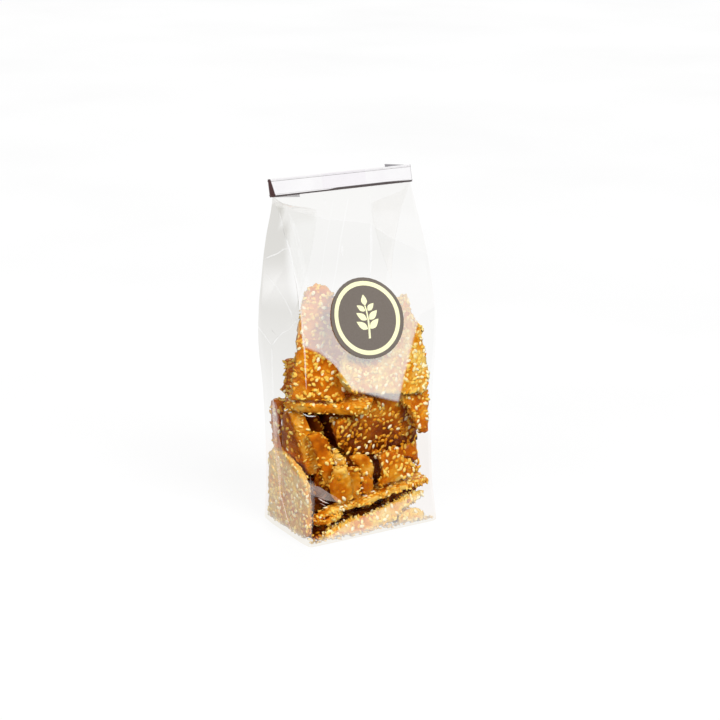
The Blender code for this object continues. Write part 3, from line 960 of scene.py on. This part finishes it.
def loose_seeds():
    """Seeds that have come off and lie on the floor of the bag."""
    rng = random.Random(LOOSE_SEED)
    seeds = []
    for _ in range(LOOSE_COUNT):
        spot = Vector((rng.uniform(-43, 43), rng.uniform(-24, 27), rng.uniform(0.9, 1.6))) * MM
        swing = rng.uniform(0, 2 * math.pi)
        along = Vector((math.cos(swing), math.sin(swing), 0))
        out = Vector((rng.uniform(-0.2, 0.2), rng.uniform(-0.2, 0.2), 1)).normalized()
        seeds.append((spot, along, out, rng.uniform(0.85, 1.1), rng.uniform(0.5, 1.0)))
    return seeds


def link(name, data):
    """New object in the scene."""
    made = bpy.data.objects.new(name, data)
    bpy.context.scene.collection.objects.link(made)
    return made


def merge(parts):
    """Vertices and faces of several meshes as one."""
    vertices = []
    faces = []
    for points, polygons in parts:
        start = len(vertices)
        vertices += points
        faces += [tuple(start + i for i in face) for face in polygons]
    return vertices, faces


def add_mesh(name, vertices, faces, finish, tones=None):
    mesh = bpy.data.meshes.new(name)
    mesh.from_pydata(vertices, [], faces)
    mesh.materials.append(finish)
    mesh.polygons.foreach_set("use_smooth", [True] * len(mesh.polygons))
    if tones is not None:
        layer = mesh.attributes.new("tone", "FLOAT", "POINT")
        layer.data.foreach_set("value", tones)
    mesh.update()
    return link(name, mesh)


def seed_template():
    """Teardrop with six sides: unit length along X, flat on Z."""
    rings = ((-0.5, 0.0), (-0.30, 0.78), (0.05, 1.0), (0.32, 0.55), (0.5, 0.0))
    sides = 6
    vertices = [(-0.5, 0, 0)]
    for x, reach in rings[1:-1]:
        for k in range(sides):
            angle = 2 * math.pi * k / sides
            vertices.append((x, 0.5 * reach * math.cos(angle), 0.5 * reach * math.sin(angle)))
    vertices.append((0.5, 0, 0))
    faces = []
    for k in range(sides):
        faces.append((0, 1 + (k + 1) % sides, 1 + k))
    for ring in range(2):
        for k in range(sides):
            a = 1 + ring * sides + k
            b = 1 + ring * sides + (k + 1) % sides
            faces.append((a, b, b + sides, a + sides))
    last = len(vertices) - 1
    for k in range(sides):
        faces.append((last, 1 + 2 * sides + k, 1 + 2 * sides + (k + 1) % sides))
    return np.array(vertices), faces


def join_seeds(name, seeds, finish):
    """All seeds of a list as one mesh, none of them lower than the bag's floor."""
    shape, faces = seed_template()
    scale = np.array((SEED_LENGTH, SEED_WIDTH, SEED_HEIGHT)) * MM
    count = len(shape)
    points = np.zeros((len(seeds) * count, 3))
    tones = np.zeros(len(seeds) * count)
    joined = []
    for index, (spot, along, out, size, tone) in enumerate(seeds):
        side = out.cross(along).normalized()
        true_along = side.cross(out).normalized()
        axes = np.array((true_along, side, out))
        start = index * count
        placed = (shape * scale * size) @ axes + np.array(spot)
        placed[:, 2] += max(0.0, FLOOR_GAP - placed[:, 2].min())
        points[start:start + count] = placed
        tones[start:start + count] = tone
        joined += [tuple(start + i for i in face) for face in faces]
    return add_mesh(name, points.tolist(), joined, finish, tones)


def join_slabs(name, slabs, finish):
    """All slabs of a list as one mesh."""
    made = [slab.mesh() for slab in slabs]
    vertices, faces = merge([part[:2] for part in made])
    tones = [tone for part in made for tone in part[2]]
    return add_mesh(name, vertices, faces, finish, tones)


SEEDS_PER_PIECE = 4200


def build_brittle():
    """Every piece of brittle in the bag, and its seeds."""
    space = Space(BAG)
    shown = shown_slabs()
    for slab in shown:
        space.take(*slab.prism())
    filler = back_slabs(space) + filler_slabs(space)
    crumbs = crumb_slabs(space)
    caramel = caramel_material()
    sesame = seed_material()
    pieces = [join_slabs("brittle_shown", shown, caramel),
              join_slabs("brittle_fill", filler, caramel),
              join_slabs("brittle_crumbs", crumbs, caramel)]
    seeds = loose_seeds()
    for slab in shown + filler + crumbs:
        seeds += [seed for seed in slab.seeds() if space.depth(seed[0]) > SEED_CLEARANCE]
    for number, start in enumerate(range(0, len(seeds), SEEDS_PER_PIECE)):
        batch = seeds[start:start + SEEDS_PER_PIECE]
        pieces.append(join_seeds(f"sesame_seeds_{number + 1}", batch, sesame))
    for piece in pieces:
        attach(piece, "root")
    return pieces


# ---------------------------------------------------------------- film


def build_film():
    """Smooth clear film in the shape of the CAD bag, with its folds kept sharp."""
    shape = bmesh.new()
    shape.from_mesh(BAG.data)
    bmesh.ops.remove_doubles(shape, verts=shape.verts, dist=0.00001)
    bmesh.ops.join_triangles(shape, faces=shape.faces, angle_face_threshold=0.7,
                             angle_shape_threshold=1.2)
    crease = shape.edges.layers.float.new("crease_edge")
    for edge in shape.edges:
        if len(edge.link_faces) == 2 and edge.calc_face_angle() > math.radians(32):
            edge[crease] = 0.8
    mesh = bpy.data.meshes.new("film")
    shape.to_mesh(mesh)
    shape.free()
    mesh.materials.clear()
    mesh.materials.append(film_material())
    mesh.polygons.foreach_set("use_smooth", [True] * len(mesh.polygons))
    film = link("film", mesh)
    smooth = film.modifiers.new("smooth", "SUBSURF")
    smooth.levels = 2
    smooth.render_levels = 2
    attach(film, "root")
    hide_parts("bag")
    return film


# Painted highlights on the film, along folds, as glints and as veils of reflection: strength, width at
# the start and at the end, and points (millimetres)
FILM_GLINTS = (
    (0.4, 1.0, 3.0, ((-48.5, 13, 117), (-48.6, 12, 95), (-48.4, 11, 84))),
    (0.38, 6.0, 4.5, ((-48.4, 11, 84), (-48.2, 9, 62), (-47.8, 6, 45), (-47.6, 3, 28))),
    (0.6, 1.6, 1.0, ((-47.7, 8, 40), (-47.6, 3, 24), (-47.2, -3, 12), (-47, -9, 3))),
    (0.55, 0.8, 0.8, ((-48.5, 13, 117), (-47.7, 32, 125))),
    (0.55, 0.8, 0.8, ((-48.5, 13, 117), (-44.3, -10, 139))),
    (0.6, 0.8, 0.8, ((-46, 26, 168), (-40, 20.5, 171.7), (-43, 9, 175.3))),
    (0.5, 0.6, 0.6, ((-45.7, 27, 159), (-41.7, 21.6, 152), (-39, 14, 144), (-41.6, 1, 135),
                     (-45.8, -10, 132))),
    (0.6, 0.7, 0.9, ((-47, 7, 200), (-46.5, -5, 180), (-46.3, -14.5, 160), (-46.6, -20.5, 140),
                     (-47, -24.4, 120), (-47, -26, 100))),
    (0.45, 0.4, 0.5, ((-45.7, -29.1, 46), (-45.5, -29.5, 3))),
    (0.8, 2.0, 0.8, ((13.9, 2.6, 188.5), (10.5, -3.4, 172.7), (6, -10, 156.1))),
    (0.7, 1.4, 0.9, ((-8.7, -1.4, 177.6), (-10.1, -3.8, 171.5))),
    (0.3, 0.9, 0.9, ((-35.6, 6.9, 199.5), (-16.3, 4.7, 193), (-1.4, 4.1, 190.7), (13.2, 2.6, 187.8))),
    (0.3, 0.9, 0.5, ((13.2, 2.6, 187.8), (24.1, -1.9, 179.5), (36.2, -6.8, 172.9))),
    (0.3, 1.5, 4.0, ((-38, -24, 123), (-29, -27, 114), (-22, -29, 105), (-17, -30, 98))),
    (0.25, 2.5, 5.0, ((-41, 6, 200), (-39.5, 0, 189), (-40, -10, 168), (-40, -18, 150))),
    (0.25, 0.8, 0.8, ((-14, 11, 208), (-15, 8, 200))),
    (0.25, 0.8, 0.8, ((17, 11, 208), (16, 6, 195))),
    (0.34, 8.0, 1.5, ((-46.2, -27.8, 39), (-42, -31.5, 36.5), (-36, -32.3, 32.5),
                      (-25.8, -32.6, 27.2))),
    (0.9, 0.9, 0.5, ((-41.9, -31.5, 32.5), (-38.5, -31.8, 29.8), (-34.5, -31.8, 27.6))),
    (0.9, 0.5, 0.4, ((-40.7, -31.8, 29.2), (-36.5, -31.8, 26.4))),
    (0.8, 0.9, 0.6, ((-47.4, -22.7, 84.2), (-46, -27, 83.6), (-42.8, -30.1, 83.9))),
)
GLINT_LIFT = 0.00025


def ribbon(tree, start_width, end_width, points):
    """Thin tapered strip laid on the film along a line of points, in metres."""
    stops = [Vector(p) * MM for p in points]
    path = []
    for first, second in zip(stops, stops[1:]):
        steps = max(2, round((second - first).length / 0.003))
        path += [first.lerp(second, k / steps) for k in range(steps)]
    path.append(stops[-1])
    vertices = []
    for index, spot in enumerate(path):
        place, normal, _, _ = tree.find_nearest(spot)
        ahead = path[min(index + 1, len(path) - 1)] - path[max(index - 1, 0)]
        across = normal.cross(ahead).normalized()
        share = index / (len(path) - 1)
        width = start_width + (end_width - start_width) * share
        half = 0.5 * width * MM * min(1.0, 0.15 + 6 * min(share, 1 - share))
        for side, rise in ((-1, 0.0), (0, 0.0001), (1, 0.0)):
            laid, out, _, _ = tree.find_nearest(place + across * half * side)
            vertices.append(laid + out * (GLINT_LIFT + rise))
    faces = []
    for index in range(len(path) - 1):
        for side in (0, 1):
            a = 3 * index + side
            faces.append((a, a + 1, a + 4, a + 3))
    return vertices, faces


def build_glints():
    """Painted highlights, laid on the film as whitish glossy strips along folds, glints and veils."""
    tree = search_tree(BAG)
    strips = [ribbon(tree, *line[1:]) for line in FILM_GLINTS]
    vertices, faces = merge(strips)
    tones = [line[0] for line, strip in zip(FILM_GLINTS, strips) for _ in strip[0]]
    piece = add_mesh("film_glints", vertices, faces, glint_material(), tones)
    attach(piece, "root")


# ---------------------------------------------------------------- label print

RING_OUTER = 22.5
RING_INNER = 19.8
PRINT_START = 0.02
PRINT_LIFT = 0.00006
PRINT_STEP = 1.0
STEM_FOOT = -12.5
STEM_HEIGHT = 20


def leaf(base, tip, width):
    """Pointed oval from base to tip."""
    along = Vector(tip) - Vector(base)
    across = Vector((-along.y, along.x)).normalized() * width / 2
    points = []
    for share, reach in ((0, 0.05), (0.12, 0.55), (0.3, 0.95), (0.45, 1.0), (0.65, 0.8),
                         (0.85, 0.4), (1.0, 0.03)):
        points.append((Vector(base) + along * share, reach))
    right = [tuple(spot + across * reach) for spot, reach in points]
    left = [tuple(spot - across * reach) for spot, reach in reversed(points)]
    return right + left


def stem_x(share):
    """Sideways place of the curved stem, from its foot at 0 to its top at 1."""
    return 1.6 * math.sin(2.2 * share) - 1.0


def sprig_outlines():
    """Plain plant sprig: a curved stem, paired leaves and a bud."""
    stem = []
    lean = []
    for index in range(15):
        share = index / 14
        y = STEM_FOOT + STEM_HEIGHT * share
        x = stem_x(share)
        half = 0.75 - 0.35 * share
        stem.append((x + half, y))
        lean.append((x - half, y))
    outlines = [stem + lean[::-1]]
    for level, reach, width in ((-7.0, 7.6, 4.2), (-1.5, 7.2, 4.0), (4.0, 5.8, 3.4)):
        x = stem_x((level - STEM_FOOT) / STEM_HEIGHT)
        for side in (1, -1):
            tip = (x + side * reach, level + reach * 0.72)
            outlines.append(leaf((x + side * 0.9, level + 0.3), tip, width))
    x = stem_x(1)
    outlines.append(leaf((x, 7.6), (x + 0.3, 14.2), 4.0))
    return outlines


def flat_fill(outline):
    """Inner points and triangles of a flat outline, about a millimetre apart."""
    xs = [p[0] for p in outline]
    ys = [p[1] for p in outline]
    inner = []
    for row in range(int((max(ys) - min(ys)) / PRINT_STEP) + 1):
        for column in range(int((max(xs) - min(xs)) / PRINT_STEP) + 1):
            x = min(xs) + (column + 0.5) * PRINT_STEP
            y = min(ys) + (row + 0.5) * PRINT_STEP
            if inside_outline(outline, x, y):
                inner.append((x, y))
    count = len(outline)
    edges = [(i, (i + 1) % count) for i in range(count)]
    made = delaunay_2d_cdt([Vector(p) for p in outline + inner], edges, [], 1, 1e-5)
    return [(p.x, p.y) for p in made[0]], [tuple(face) for face in made[2]]


def ring_fill():
    """Points and faces of the flat ring."""
    points = []
    faces = []
    turns = 120
    levels = 4
    for level in range(levels + 1):
        radius = RING_INNER + (RING_OUTER - RING_INNER) * level / levels
        for turn in range(turns):
            angle = 2 * math.pi * turn / turns
            points.append((radius * math.cos(angle), radius * math.sin(angle)))
    for level in range(levels):
        for turn in range(turns):
            a = level * turns + turn
            b = level * turns + (turn + 1) % turns
            faces.append((a, a + turns, b + turns, b))
    return points, faces


def build_print():
    """Cream ring and sprig, laid on the label's face."""
    low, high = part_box("label")
    centre = (Vector(low) + Vector(high)) / 2
    tree = search_tree(LABEL)
    rise = math.atan2(high[2] - low[2], high[1] - low[1])
    up = Vector((0, math.cos(rise), math.sin(rise)))
    out = Vector((0, -math.sin(rise), math.cos(rise)))
    flat, faces = merge([ring_fill()] + [flat_fill(shape) for shape in sprig_outlines()])
    vertices = []
    for x, y in flat:
        spot = centre + Vector((x, 0, 0)) * MM + up * y * MM + out * PRINT_START
        place, normal, _, _ = tree.ray_cast(spot, -out)
        vertices.append(place + normal * PRINT_LIFT)
    piece = add_mesh("label_print", vertices, faces,
                     paper_material("label_cream", colour(248, 246, 196), colour(252, 250, 208), 0.5))
    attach(piece, "root")


# ---------------------------------------------------------------- stage


FLOOR_REACH = 6.0
FLOOR_DROP = 0.0002
FILL_SIZE = 1.6
FILL_DISTANCE = 1.6
FILL_RADIANCE = 2.6
FILL_TARGET = Vector((0, 0, 0.11))


def fill_light():
    """Square soft light to the left of the pack."""
    lamp = bpy.data.lights.new("fill_box", "AREA")
    lamp.shape = "RECTANGLE"
    lamp.size, lamp.size_y = FILL_SIZE, FILL_SIZE
    lamp.energy = FILL_RADIANCE * FILL_SIZE * FILL_SIZE * math.pi
    made = link("fill_box", lamp)
    way = aim(math.radians(-65), math.radians(22))
    made.location = FILL_TARGET + way * FILL_DISTANCE
    made.rotation_euler = way.to_track_quat("Z", "Y").to_euler()
    made.visible_glossy = False


def build_stage(brittle):
    """Floor, world and lights; one small lamp shines on the brittle alone."""
    floor_mesh = bpy.data.meshes.new("floor")
    shape = bmesh.new()
    bmesh.ops.create_grid(shape, x_segments=8, y_segments=8, size=FLOOR_REACH)
    shape.to_mesh(floor_mesh)
    shape.free()
    floor_mesh.materials.append(floor_material())
    floor = link("floor", floor_mesh)
    floor.location.z = cad_box[0][2] - FLOOR_DROP
    floor.visible_diffuse = False

    world = bpy.data.worlds.new("studio")
    world.use_nodes = True
    world.node_tree.nodes["Background"].inputs["Color"].default_value = (1.0, 1.0, 1.0, 1.0)
    world.node_tree.nodes["Background"].inputs["Strength"].default_value = 1.0
    world.cycles_visibility.diffuse = False
    bpy.context.scene.world = world

    sun_light("key_sun", (0.12, -0.75, 0.62), 2.98, 32)
    sparkle = sun_light("sparkle_sun", (0.4, -0.5, 0.8), 1.4, 7)
    sparkle.visible_diffuse = False
    sparkle.visible_glossy = True
    shone = bpy.data.collections.new("brittle_only")
    for piece in brittle:
        shone.objects.link(piece)
    sparkle.light_linking.receiver_collection = shone
    sun_light("back_sun", (0.5, 0.82, 0.35), 2.4, 40)
    fill_light()


def sun_light(name, way, strength, spread):
    """Distant soft lamp that lights from the given direction."""
    lamp = bpy.data.lights.new(name, "SUN")
    lamp.energy = strength
    lamp.angle = math.radians(spread)
    made = link(name, lamp)
    made.rotation_euler = Vector(way).to_track_quat("Z", "Y").to_euler()
    made.visible_glossy = False
    return made


def build_camera():
    camera = bpy.data.cameras.new("camera")
    camera.lens = CAMERA_LENS
    camera.sensor_width = 36.0
    made = link("camera", camera)
    back = aim(CAMERA_TURN, CAMERA_RISE)
    made.location = CAMERA_TARGET + back * CAMERA_DISTANCE
    look = back.to_track_quat("Z", "Y").to_matrix().to_4x4()
    made.matrix_world = (Matrix.Translation(made.location) @ look
                         @ Matrix.Rotation(CAMERA_ROLL, 4, "Z"))
    bpy.context.scene.camera = made


def set_view():
    scene = bpy.context.scene
    scene.view_settings.view_transform = "Standard"
    scene.cycles.use_denoising = True
    scene.cycles.transparent_max_bounces = 24
    scene.cycles.max_bounces = 8
    scene.cycles.caustics_reflective = False
    scene.cycles.caustics_refractive = False


def dress_frame():
    for node, finish in ((TIE, foil_material()),
                         # The label's dark brown paper is given a lighter grey-brown: its own colour
                         # plus a painted sheen of the soft light on its satin face
                         (LABEL, paper_material("label_paper", colour(109, 101, 94),
                                                colour(119, 111, 104), 0.5))):
        node.data.materials.clear()
        node.data.materials.append(finish)


build_camera()
build_stage(build_brittle())
build_film()
build_glints()
build_print()
dress_frame()
set_view()
